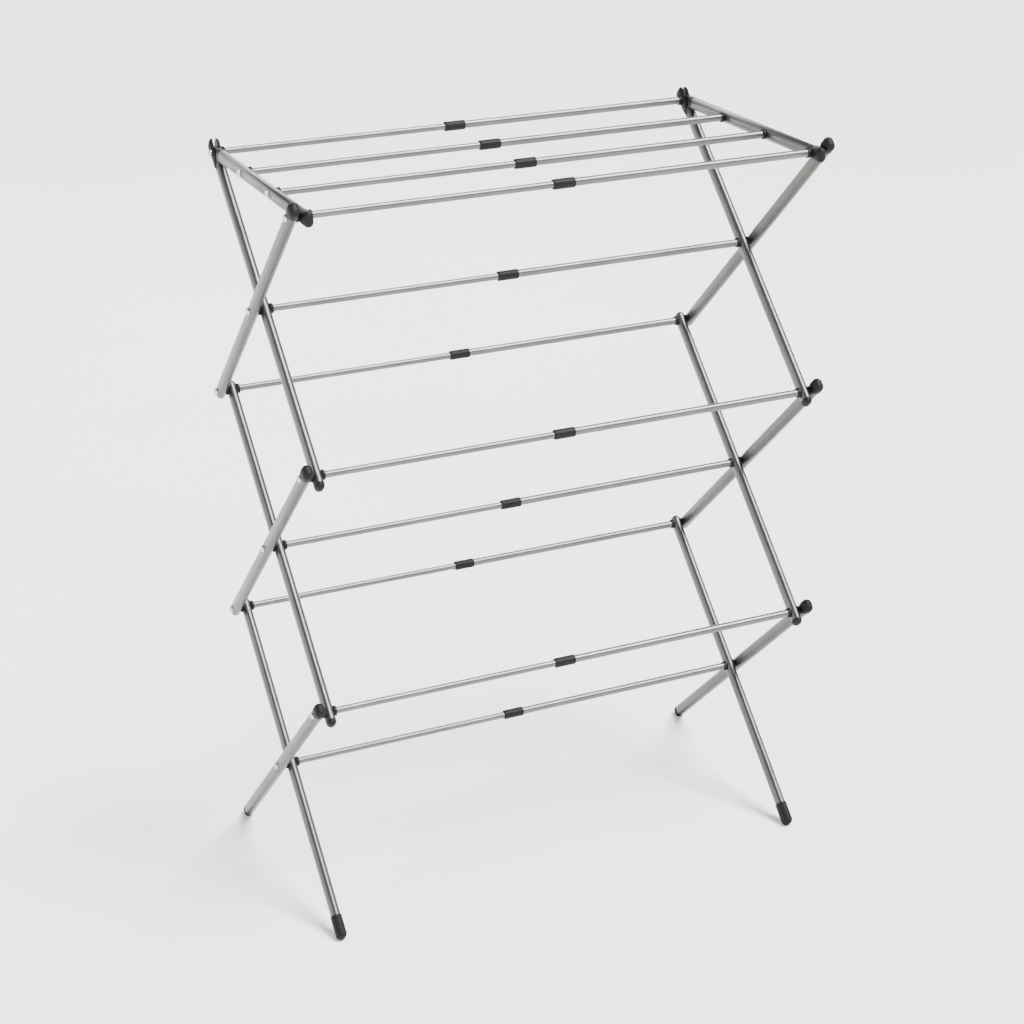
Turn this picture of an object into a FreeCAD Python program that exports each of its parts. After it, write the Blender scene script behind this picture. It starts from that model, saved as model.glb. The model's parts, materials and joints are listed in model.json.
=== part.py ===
"""Extending clothes drying rack, standing open at its full width.

Two end frames of oval tube stand left and right. Each has three scissor levels and a deck rail on top.
Eleven rods join the frames, and each is an outer tube on the right with an inner tube sliding in it from
the left, so the rack gets narrower. Inner legs run from the top back to the bottom front, and outer legs
lie beside them, from the top front to the bottom back.

Millimetres, +X right, +Y back, +Z up. The origin is on the floor below the middle of the rack.
"""

import FreeCAD
import Part

import math
import os

Vector = FreeCAD.Vector

# End frames
LEG_PITCH = 492.0  # first to last pivot of a leg
OPEN_DEPTH = 358.0  # front pivots to back pivots
FRAME_WIDTH = 712.0  # between the middle planes of the inner legs
BASE_AXIS_HEIGHT = 183.0  # lowest crossing pivot above the floor
LEVELS = ("lower", "middle", "upper")

# Oval tube of the legs and rails
TUBE_HEIGHT = 18.0
TUBE_THICKNESS = 13.0
TUBE_WALL = 0.8
LAYER_GAP = 2.5  # between the inner and the outer legs
ROUNDED_END_REACH = 12.0  # pivot to the tip of a leg's rounded metal end

# Telescoping rods
OUTER_ROD_DIAMETER = 10.6
OUTER_ROD_WALL = 0.65
INNER_ROD_WALL = 0.65
ROD_OVERLAP = 37.0  # inner rod inside the collar and the outer rod at full width
DECK_ROD_PLACES = (124.0, 240.0)  # in front of the deck's hinge axis

# Collar on the open end of each outer rod
COLLAR_WALL = 1.5
COLLAR_LENGTH = 30.0
COLLAR_LIP = 2.0
COLLAR_CENTRE_X = -10.0
COLLAR_EDGE = 1.0

# Plugs, spacers and screws at the pivots
FLANGE_RIM = 1.7  # a flange stands this far out from its outer rod
FLANGE_LENGTH = 4.0
FLANGE_EDGE = 0.8
STEM_LENGTH = 10.0
SCREW_DIAMETER = 5.0
SCREW_HEAD_DIAMETER = 10.0
SCREW_HEAD_HEIGHT = 2.6
SCREW_HEAD_EDGE = 1.6

# Black caps, plugs and feet on the tube ends
CAP_WALL = 1.0
CAP_START = 8.0  # past the pivot
CAP_TUBE_END = 14.0
CAP_TIP = 24.0
PLUG_TUBE_END = 12.0
PLUG_STEM = 6.0
PLUG_TIP = 21.0
FRONT_FOOT_LENGTH = 34.0
FRONT_FOOT_SOLID = 20.0  # tip to the tube's end, along the leg
BACK_FOOT_LENGTH = 14.0  # tip to the tube's end, along the leg
FOOT_FLAT_DEPTH = 2.0  # taken off a foot's rounded tip by the floor

# Hinge between the upper inner legs and the deck
HINGE_HEAD_RIM = 1.0  # the split head stands this far out from its neck
HINGE_HEAD_START = 9.0  # above the axis
HINGE_HEAD_TIP = 20.0
HINGE_TUBE_END = 14.0  # below the axis
HINGE_WEB_TOP = 12.0
HINGE_SKIRT = 12.0  # lower edge of the cap at its sides
HINGE_POINT = 26.0  # lower point of the cap on the flats
TONGUE_THICKNESS = 6.0
TONGUE_EYE_RADIUS = 8.0
KNUCKLE_START = 22.0
KNUCKLE_END = 30.0
KNUCKLE_STEM = 15.0

# Hook over the deck's front rod
BUSH_WALL = 2.5
HOOK_TUBE_END = 4.0  # in front of the front rod's axis
HOOK_TIP = 25.0
HOOK_STEM = 34.0
HOOK_RIM = 1.0  # the hook stands this far above and below its rail
HOOK_LINING = 0.7
HOOK_FLARE = 0.6  # the saddle's mouth is this much wider towards the back

# Folding, in degrees
LEG_TURN = 39.0  # a leg's turn from open to folded
DECK_TURN = 90.0  # the deck's swing up meanwhile

# Fits
PIVOT_CLEARANCE = 0.1
FACE_CLEARANCE = 0.1
SLIDE_CLEARANCE = 0.1
STEM_CLEARANCE = 0.05
SADDLE_CLEARANCE = 0.3
TONGUE_CLEARANCE = 0.3
SWING_CLEARANCE = 1.0

INNER_ROD_DIAMETER = OUTER_ROD_DIAMETER - 2 * OUTER_ROD_WALL - 2 * SLIDE_CLEARANCE
COLLAR_DIAMETER = OUTER_ROD_DIAMETER + 2 * COLLAR_WALL
FLANGE_DIAMETER = OUTER_ROD_DIAMETER + 2 * FLANGE_RIM
BUSH_RADIUS = SCREW_DIAMETER / 2 + BUSH_WALL

HALF_LEG = LEG_PITCH / 2
HALF_DEPTH = OPEN_DEPTH / 2
HALF_RISE = math.sqrt(HALF_LEG**2 - HALF_DEPTH**2)
INNER_PLANE = FRAME_WIDTH / 2
OUTER_PLANE = INNER_PLANE + TUBE_THICKNESS + LAYER_GAP
TUBE_FLAT = TUBE_THICKNESS / 2
CAP_HEIGHT = TUBE_HEIGHT + 2 * CAP_WALL
CAP_THICKNESS = TUBE_THICKNESS + 2 * CAP_WALL
CAP_FLAT = CAP_THICKNESS / 2
HOLE_RADIUS = SCREW_DIAMETER / 2 + PIVOT_CLEARANCE
HINGE_HEAD_HEIGHT = CAP_HEIGHT + 2 * HINGE_HEAD_RIM
HOOK_HEIGHT = TUBE_HEIGHT + 2 * HOOK_RIM

X_AXIS = Vector(1, 0, 0)
UP_INNER = Vector(0, HALF_DEPTH, HALF_RISE) * (1 / HALF_LEG)
UP_OUTER = Vector(0, -HALF_DEPTH, HALF_RISE) * (1 / HALF_LEG)
FORWARD = Vector(0, -1, 0)
BIG = 3 * HALF_LEG


def crossing(level):
    """The pivot where the two legs of a level cross, in the middle plane."""
    return Vector(0, 0, BASE_AXIS_HEIGHT + 2 * HALF_RISE * LEVELS.index(level))


def back_pivot(level):
    """The top back pivot of a level."""
    return crossing(level) + Vector(0, HALF_DEPTH, HALF_RISE)


def front_pivot(level):
    """The top front pivot of a level."""
    return crossing(level) + Vector(0, -HALF_DEPTH, HALF_RISE)


def oval_face(height, thickness):
    """A face with flat sides towards X and round ends towards Y, centred on the origin."""
    radius = thickness / 2
    rise = (height - thickness) / 2
    right_low, right_high = Vector(radius, -rise, 0), Vector(radius, rise, 0)
    left_low, left_high = Vector(-radius, -rise, 0), Vector(-radius, rise, 0)
    edges = [
        Part.LineSegment(right_low, right_high).toShape(),
        Part.Arc(right_high, Vector(0, rise + radius, 0), left_high).toShape(),
        Part.LineSegment(left_high, left_low).toShape(),
        Part.Arc(left_low, Vector(0, -rise - radius, 0), right_low).toShape(),
    ]
    return Part.Face(Part.Wire(edges))


def rounded_nose(height, thickness, at, up):
    """Half of a rounded bar across the end of an oval bar, on its upper or lower side."""
    radius = thickness / 2
    rise = (height - thickness) / 2
    tip = radius if up else -radius
    profile = Part.Face(
        Part.Wire(
            [
                Part.LineSegment(Vector(-radius, 0, 0), Vector(radius, 0, 0)).toShape(),
                Part.Arc(Vector(radius, 0, 0), Vector(0, 0, tip), Vector(-radius, 0, 0)).toShape(),
            ]
        )
    )
    profile.translate(Vector(0, -rise, at))
    nose = profile.extrude(Vector(0, 2 * rise, 0))
    low, high = (0, 90) if up else (-90, 0)
    for y in (-rise, rise):
        ball = Part.makeSphere(radius, Vector(0, y, at), Vector(0, 0, 1), low, high)
        nose = nose.fuse(ball)
    return nose


def oval_bar(height, thickness, low, high, round_low=False, round_high=False):
    """A solid bar of oval section along Z. A rounded end has its tip at low or high."""
    radius = thickness / 2
    start = low + radius if round_low else low
    stop = high - radius if round_high else high
    face = oval_face(height, thickness)
    face.translate(Vector(0, 0, start))
    bar = face.extrude(Vector(0, 0, stop - start))
    if round_low:
        bar = bar.fuse(rounded_nose(height, thickness, start, up=False))
    if round_high:
        bar = bar.fuse(rounded_nose(height, thickness, stop, up=True))
    return bar.removeSplitter()


def oval_tube(low, high, holes, round_low=False, round_high=False):
    """A leg or rail tube along Z with pivot holes across it. Rounded ends are closed."""
    inside_low = low + TUBE_WALL if round_low else low - TUBE_WALL
    inside_high = high - TUBE_WALL if round_high else high + TUBE_WALL
    tube = oval_bar(TUBE_HEIGHT, TUBE_THICKNESS, low, high, round_low, round_high)
    inside = oval_bar(
        TUBE_HEIGHT - 2 * TUBE_WALL,
        TUBE_THICKNESS - 2 * TUBE_WALL,
        inside_low,
        inside_high,
        round_low,
        round_high,
    )
    tube = tube.cut(inside)
    for at in holes:
        tube = tube.cut(cross_bar(HOLE_RADIUS, TUBE_THICKNESS, at))
    return tube


def cross_bar(radius, half_length, at=0.0):
    """A cylinder along X through the point at on the Z axis."""
    return Part.makeCylinder(radius, 2 * half_length, Vector(-half_length, 0, at), X_AXIS)


def tube_envelope(low, high):
    """The outside of the tube, as the hollow that a cap needs."""
    return oval_bar(TUBE_HEIGHT, TUBE_THICKNESS, low, high)


def tube_stem(low, high):
    """The part of a plug or fitting that fills the inside of the tube."""
    shrink = 2 * TUBE_WALL + 2 * STEM_CLEARANCE
    return oval_bar(TUBE_HEIGHT - shrink, TUBE_THICKNESS - shrink, low, high)


def placed(shape, origin, direction, plane):
    """A shape made along Z, put on a frame's plane at origin and turned along direction."""
    moved = shape.copy()
    turn = FreeCAD.Rotation(X_AXIS, direction.cross(X_AXIS), direction, "ZXY")
    moved.Placement = FreeCAD.Placement(origin + X_AXIS * plane, turn)
    return moved


def side_of(shape, side):
    """A right-hand shape as it is, or mirrored for the left."""
    if side == "right":
        return shape
    return shape.mirror(Vector(0, 0, 0), X_AXIS)


def ring(outer_radius, inner_radius, start, length):
    """A ring or tube along X."""
    outside = Part.makeCylinder(outer_radius, length, Vector(start, 0, 0), X_AXIS)
    return outside.cut(Part.makeCylinder(inner_radius, length, Vector(start, 0, 0), X_AXIS))


def at_pivot(shape, pivot):
    """A shape made about the X axis, moved to a pivot."""
    moved = shape.copy()
    moved.translate(pivot)
    return moved


def round_edges(shape, radius, at_x):
    """Fillets the round edges of a turned piece that lie in the plane x = at_x."""
    tolerance = 0.01
    edges = [
        edge
        for edge in shape.Edges
        if abs(edge.BoundBox.XMin - at_x) < tolerance and abs(edge.BoundBox.XMax - at_x) < tolerance
    ]
    widest = max(edge.BoundBox.YLength for edge in edges)
    rim = [edge for edge in edges if edge.BoundBox.YLength > widest - tolerance]
    return shape.makeFillet(radius, rim)


# ---------------------------------------------------------------- rods and what joins them


def flange_face(inner_flat):
    """X of the face of a rod's flange that looks at the frame, on the right."""
    return INNER_PLANE - inner_flat - FACE_CLEARANCE


def rod_end(inner_flat):
    """X of the end of a rod's tube, where it stands on its flange, on the right."""
    return flange_face(inner_flat) - FLANGE_LENGTH


def outer_rod(pivot, inner_flat=TUBE_FLAT):
    """The right half of a rod, from inside its collar to the right flange."""
    start = COLLAR_CENTRE_X - COLLAR_LENGTH / 2 + COLLAR_LIP
    radius = OUTER_ROD_DIAMETER / 2
    return at_pivot(ring(radius, radius - OUTER_ROD_WALL, start, rod_end(inner_flat) - start), pivot)


def inner_rod(pivot, inner_flat=TUBE_FLAT):
    """The left half of a rod, from the left flange into the outer rod."""
    stop = COLLAR_CENTRE_X - COLLAR_LENGTH / 2 + ROD_OVERLAP
    start = -rod_end(inner_flat)
    radius = INNER_ROD_DIAMETER / 2
    return at_pivot(ring(radius, radius - INNER_ROD_WALL, start, stop - start), pivot)


def collar(pivot):
    """The black sleeve on the open end of an outer rod, with a lip down to the inner rod."""
    start = COLLAR_CENTRE_X - COLLAR_LENGTH / 2
    body = Part.makeCylinder(COLLAR_DIAMETER / 2, COLLAR_LENGTH, Vector(start, 0, 0), X_AXIS)
    body = round_edges(body, COLLAR_EDGE, start)
    body = round_edges(body, COLLAR_EDGE, start + COLLAR_LENGTH)
    lip_bore = INNER_ROD_DIAMETER / 2 + SLIDE_CLEARANCE
    body = body.cut(Part.makeCylinder(lip_bore, COLLAR_LENGTH, Vector(start, 0, 0), X_AXIS))
    seat = Vector(start + COLLAR_LIP, 0, 0)
    return at_pivot(body.cut(Part.makeCylinder(OUTER_ROD_DIAMETER / 2, COLLAR_LENGTH, seat, X_AXIS)), pivot)


def rod_plug(pivot, side, inner_flat=TUBE_FLAT, bush=False):
    """The flanged plug in one end of a rod. A bush carries it on through the inner layer."""
    if side == "right":
        bore = OUTER_ROD_DIAMETER / 2 - OUTER_ROD_WALL
    else:
        bore = INNER_ROD_DIAMETER / 2 - INNER_ROD_WALL
    face = flange_face(inner_flat)
    flange = Part.makeCylinder(FLANGE_DIAMETER / 2, FLANGE_LENGTH, Vector(face - FLANGE_LENGTH, 0, 0), X_AXIS)
    flange = round_edges(flange, FLANGE_EDGE, face - FLANGE_LENGTH)
    stem_start = Vector(face - FLANGE_LENGTH - STEM_LENGTH, 0, 0)
    plug = flange.fuse(Part.makeCylinder(bore - STEM_CLEARANCE, STEM_LENGTH, stem_start, X_AXIS))
    if bush:
        reach = INNER_PLANE + TUBE_FLAT - face
        plug = plug.fuse(Part.makeCylinder(BUSH_RADIUS, reach, Vector(face, 0, 0), X_AXIS))
    plug = plug.cut(Part.makeCylinder(SCREW_DIAMETER / 2, INNER_PLANE, stem_start, X_AXIS))
    return side_of(at_pivot(plug.removeSplitter(), pivot), side)


def spacer(pivot, side):
    """The ring between the inner and the outer layer at a pivot."""
    start = INNER_PLANE + TUBE_FLAT + FACE_CLEARANCE
    length = LAYER_GAP - 2 * FACE_CLEARANCE
    return side_of(at_pivot(ring(FLANGE_DIAMETER / 2, HOLE_RADIUS, start, length), pivot), side)


def screw(pivot, side, head_seat, inner_flat=TUBE_FLAT):
    """A pan head screw from outside the frame into a rod's plug."""
    under_head = head_seat + FACE_CLEARANCE
    tip = flange_face(inner_flat) - FLANGE_LENGTH - STEM_LENGTH
    head = Part.makeCylinder(
        SCREW_HEAD_DIAMETER / 2, SCREW_HEAD_HEIGHT, Vector(under_head, 0, 0), X_AXIS
    )
    head = round_edges(head, SCREW_HEAD_EDGE, under_head + SCREW_HEAD_HEIGHT)
    shank = Part.makeCylinder(SCREW_DIAMETER / 2, under_head - tip, Vector(tip, 0, 0), X_AXIS)
    return side_of(at_pivot(head.fuse(shank), pivot), side)


def rods(nodes, names, pivots, inner_flats=None):
    """Adds the outer and inner tubes of the rods at some pivots as two nodes."""
    flats = inner_flats or [TUBE_FLAT] * len(pivots)
    nodes[names[0]] = [outer_rod(p, f) for p, f in zip(pivots, flats)]
    nodes[names[1]] = [inner_rod(p, f) for p, f in zip(pivots, flats)]


# ---------------------------------------------------------------- caps, plugs and feet


def end_cap():
    """The round cap over the top of an outer leg, along the leg from its crossing."""
    start, tip = HALF_LEG + CAP_START, HALF_LEG + CAP_TIP
    cap = oval_bar(CAP_HEIGHT, CAP_THICKNESS, start, tip, round_high=True)
    return cap.cut(tube_envelope(start - CAP_WALL, HALF_LEG + CAP_TUBE_END))


def end_plug():
    """The plug in the bottom of an upper or middle inner leg."""
    tube_end = -HALF_LEG - PLUG_TUBE_END
    head = oval_bar(TUBE_HEIGHT, TUBE_THICKNESS, -HALF_LEG - PLUG_TIP, tube_end, round_low=True)
    return head.fuse(tube_stem(tube_end, tube_end + PLUG_STEM))


def foot_tip(height, thickness):
    """Where the rounded tip of an oval foot would end, along the leg from its crossing."""
    radius = thickness / 2
    rise = (height - thickness) / 2
    lowest_ball = BASE_AXIS_HEIGHT - rise * HALF_DEPTH / HALF_LEG - radius + FOOT_FLAT_DEPTH
    return -lowest_ball * HALF_LEG / HALF_RISE - radius


def standing(foot, direction, plane):
    """A foot put on its lower leg, with a flat where it stands on the floor."""
    placed_foot = placed(foot, crossing("lower"), direction, plane)
    below_floor = Part.makeBox(BIG, BIG, BIG, Vector(plane - BIG / 2, -BIG / 2, -BIG))
    return placed_foot.cut(below_floor)


def front_foot():
    """The sleeve foot on a lower inner leg."""
    tip = foot_tip(CAP_HEIGHT, CAP_THICKNESS)
    body = oval_bar(CAP_HEIGHT, CAP_THICKNESS, tip, tip + FRONT_FOOT_LENGTH, round_low=True)
    body = body.cut(tube_envelope(tip + FRONT_FOOT_SOLID, tip + FRONT_FOOT_LENGTH + CAP_WALL))
    return standing(body, UP_INNER, INNER_PLANE)


def back_foot():
    """The plug foot in a lower outer leg."""
    tip = foot_tip(TUBE_HEIGHT, TUBE_THICKNESS)
    tube_end = tip + BACK_FOOT_LENGTH
    head = oval_bar(TUBE_HEIGHT, TUBE_THICKNESS, tip, tube_end, round_low=True)
    return standing(head.fuse(tube_stem(tube_end, tube_end + PLUG_STEM)), UP_OUTER, OUTER_PLANE)


# ---------------------------------------------------------------- deck hinge and hook


def plate(points, thickness):
    """A plate in the YZ plane of the tube's own frame, from (along, height) points."""
    corners = [Vector(-thickness / 2, height, along) for along, height in points]
    face = Part.Face(Part.makePolygon(corners + corners[:1]))
    return face.extrude(X_AXIS * thickness)


def hinge_cap():
    """The forked cap on top of an upper inner leg, along the leg from its crossing."""
    neck = oval_bar(CAP_HEIGHT, CAP_THICKNESS, HALF_LEG - HINGE_POINT, HALF_LEG + HINGE_HEAD_START)
    head = oval_bar(
        HINGE_HEAD_HEIGHT,
        CAP_THICKNESS,
        HALF_LEG + HINGE_HEAD_START,
        HALF_LEG + HINGE_HEAD_TIP,
        round_high=True,
    )
    cap = neck.fuse(head)
    cap = cap.cut(tube_envelope(HALF_LEG - HINGE_POINT - CAP_WALL, HALF_LEG - HINGE_TUBE_END))
    point, skirt = HALF_LEG - HINGE_POINT, HALF_LEG - HINGE_SKIRT
    side = CAP_HEIGHT / 2
    for sign in (-1, 1):
        corner = [(point, 0), (point, sign * side), (skirt, sign * side)]
        cap = cap.cut(plate(corner, 2 * CAP_THICKNESS))
    slot = TONGUE_THICKNESS + 2 * TONGUE_CLEARANCE
    slot_height = 2 * HINGE_HEAD_HEIGHT
    cap = cap.cut(
        Part.makeBox(
            slot,
            slot_height,
            HINGE_WEB_TOP + 2 * HINGE_HEAD_TIP,
            Vector(-slot / 2, -slot_height / 2, HALF_LEG - HINGE_WEB_TOP),
        )
    )
    return cap.cut(cross_bar(HOLE_RADIUS, CAP_THICKNESS, HALF_LEG))


def rail_frame_of_leg(down, out):
    """A point down the upper inner leg and out towards the deck, as (along, height) on the rail."""
    cosine, sine = HALF_RISE / HALF_LEG, HALF_DEPTH / HALF_LEG
    return (sine * down + cosine * out, -cosine * down + sine * out)


def knuckle():
    """The deck's part of the hinge, along the rail from the hinge axis."""
    edge = CAP_HEIGHT / 2 + SWING_CLEARANCE
    root = rail_frame_of_leg(HINGE_WEB_TOP - SWING_CLEARANCE, edge)
    far = rail_frame_of_leg(2 * HINGE_POINT, edge)
    cosine, sine = HALF_RISE / HALF_LEG, HALF_DEPTH / HALF_LEG
    heel = (HINGE_WEB_TOP - SWING_CLEARANCE - cosine * TONGUE_EYE_RADIUS) / sine
    outline = [
        (0, TONGUE_EYE_RADIUS),
        (KNUCKLE_END, TONGUE_EYE_RADIUS),
        (KNUCKLE_END, -TONGUE_EYE_RADIUS),
        root,
        (heel, -TONGUE_EYE_RADIUS),
        (0, -TONGUE_EYE_RADIUS),
    ]
    tongue = plate(outline, TONGUE_THICKNESS).fuse(cross_bar(TONGUE_EYE_RADIUS, TONGUE_THICKNESS / 2))
    body = oval_bar(TUBE_HEIGHT, TUBE_THICKNESS, KNUCKLE_START, KNUCKLE_END)
    whole = tongue.fuse(body)
    leg_side = [root, far, (root[0], far[1])]
    whole = whole.cut(plate(leg_side, 2 * CAP_THICKNESS))
    whole = whole.fuse(tube_stem(KNUCKLE_END, KNUCKLE_END + KNUCKLE_STEM))
    return whole.cut(cross_bar(HOLE_RADIUS, TONGUE_THICKNESS)).removeSplitter()


def saddle(radius):
    """The hollow over the deck's front rod, open the way that the rod leaves as the rack folds."""
    back = LEG_PITCH * HALF_RISE / HALF_LEG
    down = OPEN_DEPTH * DECK_TURN / LEG_TURN
    length = math.hypot(back, down)
    way = Vector(0, -down / length, -back / length)
    across = Vector(0, way.z, -way.y)
    axis = Vector(0, 0, OPEN_DEPTH)
    reach = 1.5 * TUBE_HEIGHT
    behind = axis - across * radius
    ahead = axis + across * radius
    if behind.z > ahead.z:
        behind, ahead = ahead, behind
    spread = Vector(0, 0, -HOOK_FLARE)
    corners = [ahead, behind, behind + way * reach + spread, ahead + way * reach]
    corners = [corner - X_AXIS * TUBE_THICKNESS for corner in corners]
    mouth = Part.Face(Part.makePolygon(corners + corners[:1])).extrude(X_AXIS * 2 * TUBE_THICKNESS)
    return mouth.fuse(cross_bar(radius, TUBE_THICKNESS, OPEN_DEPTH))


def hook():
    """The fitting in the front of a deck rail, along the rail from the hinge axis."""
    tube_end = OPEN_DEPTH + HOOK_TUBE_END
    stem = tube_stem(OPEN_DEPTH - HOOK_STEM, tube_end)
    head = oval_bar(HOOK_HEIGHT, TUBE_THICKNESS, tube_end, OPEN_DEPTH + HOOK_TIP, round_high=True)
    return stem.fuse(head).cut(saddle(BUSH_RADIUS + SADDLE_CLEARANCE))


def rail():
    """A deck rail tube, along the rail from the hinge axis, notched over the front rod.

    Its underside stops at the notch, and its top reaches on over the hook.
    """
    tube = oval_tube(KNUCKLE_END, OPEN_DEPTH + HOOK_TUBE_END, DECK_ROD_PLACES)
    tube = tube.cut(saddle(BUSH_RADIUS + SADDLE_CLEARANCE + HOOK_LINING))
    corner = Vector(-TUBE_THICKNESS, -TUBE_HEIGHT, OPEN_DEPTH)
    return tube.cut(Part.makeBox(2 * TUBE_THICKNESS, TUBE_HEIGHT, TUBE_HEIGHT, corner))


# ---------------------------------------------------------------- the whole rack


def leg_nodes(nodes, side):
    """Adds the six legs of one end frame, with their caps, plugs and feet."""
    pivots = (-HALF_LEG, 0.0, HALF_LEG)
    metal_tip = HALF_LEG + ROUNDED_END_REACH
    front_foot_end = foot_tip(CAP_HEIGHT, CAP_THICKNESS) + FRONT_FOOT_SOLID
    back_foot_end = foot_tip(TUBE_HEIGHT, TUBE_THICKNESS) + BACK_FOOT_LENGTH
    plugged_end = -HALF_LEG - PLUG_TUBE_END
    inner = {
        "lower": oval_tube(front_foot_end, metal_tip, pivots[1:], round_high=True),
        "middle": oval_tube(plugged_end, metal_tip, pivots, round_high=True),
        "upper": oval_tube(plugged_end, HALF_LEG - HINGE_TUBE_END, pivots[:2]),
    }
    capped_end = HALF_LEG + CAP_TUBE_END
    outer = {
        "lower": oval_tube(back_foot_end, capped_end, pivots[1:]),
        "middle": oval_tube(-metal_tip, capped_end, pivots, round_low=True),
        "upper": oval_tube(-metal_tip, capped_end, pivots, round_low=True),
    }
    for level in LEVELS:
        inner_leg = placed(inner[level], crossing(level), UP_INNER, INNER_PLANE)
        outer_leg = placed(outer[level], crossing(level), UP_OUTER, OUTER_PLANE)
        nodes[f"{level}_inner_leg_{side}"] = [side_of(inner_leg, side)]
        nodes[f"{level}_outer_leg_{side}"] = [side_of(outer_leg, side)]
    caps = {level: placed(end_cap(), crossing(level), UP_OUTER, OUTER_PLANE) for level in LEVELS}
    nodes[f"upper_outer_cap_{side}"] = [side_of(caps["upper"], side)]
    nodes[f"middle_outer_cap_{side}"] = [side_of(caps["middle"], side)]
    nodes[f"lower_outer_cap_and_foot_{side}"] = [side_of(caps["lower"], side), side_of(back_foot(), side)]
    nodes[f"lower_inner_foot_{side}"] = [side_of(front_foot(), side)]
    hinge = placed(hinge_cap(), crossing("upper"), UP_INNER, INNER_PLANE)
    nodes[f"hinge_cap_{side}"] = [side_of(hinge, side)]


def inner_leg_plug(level, side):
    """The end plug of an upper or middle inner leg."""
    return side_of(placed(end_plug(), crossing(level), UP_INNER, INNER_PLANE), side)


def deck_nodes(nodes, side):
    """Adds a deck rail with its knuckle and its hook."""
    axis = back_pivot("upper")
    nodes[f"deck_rail_{side}"] = [side_of(placed(rail(), axis, FORWARD, INNER_PLANE), side)]
    nodes[f"deck_rail_fittings_{side}"] = [
        side_of(placed(piece, axis, FORWARD, INNER_PLANE), side) for piece in (knuckle(), hook())
    ]


def rod_fittings(nodes, name, pivots, side, extra=()):
    """Adds the plugs, spacers and, on the right, the collars of rods that join two leg layers."""
    pieces = [rod_plug(p, side) for p in pivots] + [spacer(p, side) for p in pivots]
    if side == "right":
        pieces += [collar(p) for p in pivots]
    nodes[f"{name}_{side}"] = pieces + list(extra)


def build():
    """Returns the solids of each node."""
    nodes = {}
    hinge_axis = back_pivot("upper")
    deck_axes = [hinge_axis + FORWARD * place for place in DECK_ROD_PLACES]
    upper_axes = [hinge_axis, crossing("upper"), front_pivot("middle")]
    middle_axes = [back_pivot("middle"), crossing("middle"), front_pivot("lower")]
    front_axis = front_pivot("upper")
    lower_axis = back_pivot("lower")
    base_axis = crossing("lower")
    outer_seat = OUTER_PLANE + TUBE_FLAT
    rail_seat = INNER_PLANE + TUBE_FLAT
    hinge_seat = INNER_PLANE + CAP_FLAT

    rods(nodes, ("deck_rods_outer", "deck_rods_inner"), deck_axes)
    rods(nodes, ("front_rod_outer", "front_rod_inner"), [front_axis])
    rods(
        nodes,
        ("upper_rods_outer", "upper_rods_inner"),
        upper_axes,
        [CAP_FLAT, TUBE_FLAT, TUBE_FLAT],
    )
    rods(nodes, ("middle_rods_outer", "middle_rods_inner"), middle_axes)
    nodes["lower_back_rod_outer"] = [outer_rod(lower_axis)]
    nodes["base_rod_outer"] = [outer_rod(base_axis)]
    nodes["lower_rods_inner"] = [inner_rod(lower_axis), inner_rod(base_axis)]

    for side in ("right", "left"):
        leg_nodes(nodes, side)
        deck_nodes(nodes, side)
        collars = side == "right"

        deck = [rod_plug(p, side) for p in deck_axes]
        deck += [collar(p) for p in deck_axes] if collars else []
        nodes[f"deck_rod_fittings_{side}"] = deck
        nodes[f"deck_screws_{side}"] = [screw(p, side, rail_seat) for p in deck_axes]

        front = [rod_plug(front_axis, side, bush=True), spacer(front_axis, side)]
        front += [collar(front_axis)] if collars else []
        nodes[f"front_rod_fittings_{side}"] = front
        nodes[f"front_rod_screw_{side}"] = [screw(front_axis, side, outer_seat)]

        upper = [rod_plug(hinge_axis, side, CAP_FLAT), inner_leg_plug("upper", side)]
        upper += [collar(hinge_axis)] if collars else []
        rod_fittings(nodes, "upper_rod_fittings", upper_axes[1:], side, upper)
        nodes[f"upper_screws_{side}"] = [screw(hinge_axis, side, hinge_seat, CAP_FLAT)] + [
            screw(p, side, outer_seat) for p in upper_axes[1:]
        ]

        rod_fittings(nodes, "middle_rod_fittings", middle_axes, side, [inner_leg_plug("middle", side)])
        nodes[f"middle_screws_{side}"] = [screw(p, side, outer_seat) for p in middle_axes]

    rod_fittings(nodes, "lower_back_rod_fittings", [lower_axis], "right")
    nodes["lower_back_screw_right"] = [screw(lower_axis, "right", outer_seat)]
    rod_fittings(nodes, "base_rod_fittings", [base_axis], "right")
    nodes["base_screw_right"] = [screw(base_axis, "right", outer_seat)]
    rod_fittings(nodes, "lower_rod_fittings", [lower_axis, base_axis], "left")
    nodes["lower_screws_left"] = [screw(p, "left", outer_seat) for p in (lower_axis, base_axis)]
    return nodes


def main():
    """Writes one STEP file for each node."""
    os.makedirs("parts", exist_ok=True)
    nodes = build()
    for name, solids in nodes.items():
        shape = solids[0] if len(solids) == 1 else Part.makeCompound(solids)
        shape.exportStep(f"parts/{name}.step")
    print(f"{len(nodes)} nodes, {sum(len(solids) for solids in nodes.values())} solids")


main()
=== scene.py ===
"""The looks of an extending clothes drying rack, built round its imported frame.

Metres, +X right, +Y back, +Z up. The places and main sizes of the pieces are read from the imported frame. Only
soft edges, recesses and the like are set here.
"""

from __future__ import annotations

import json
import logging
import math
from dataclasses import dataclass
from enum import Enum
from typing import Callable, Sequence

import bmesh
import bpy
from mathutils import Matrix, Vector


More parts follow.
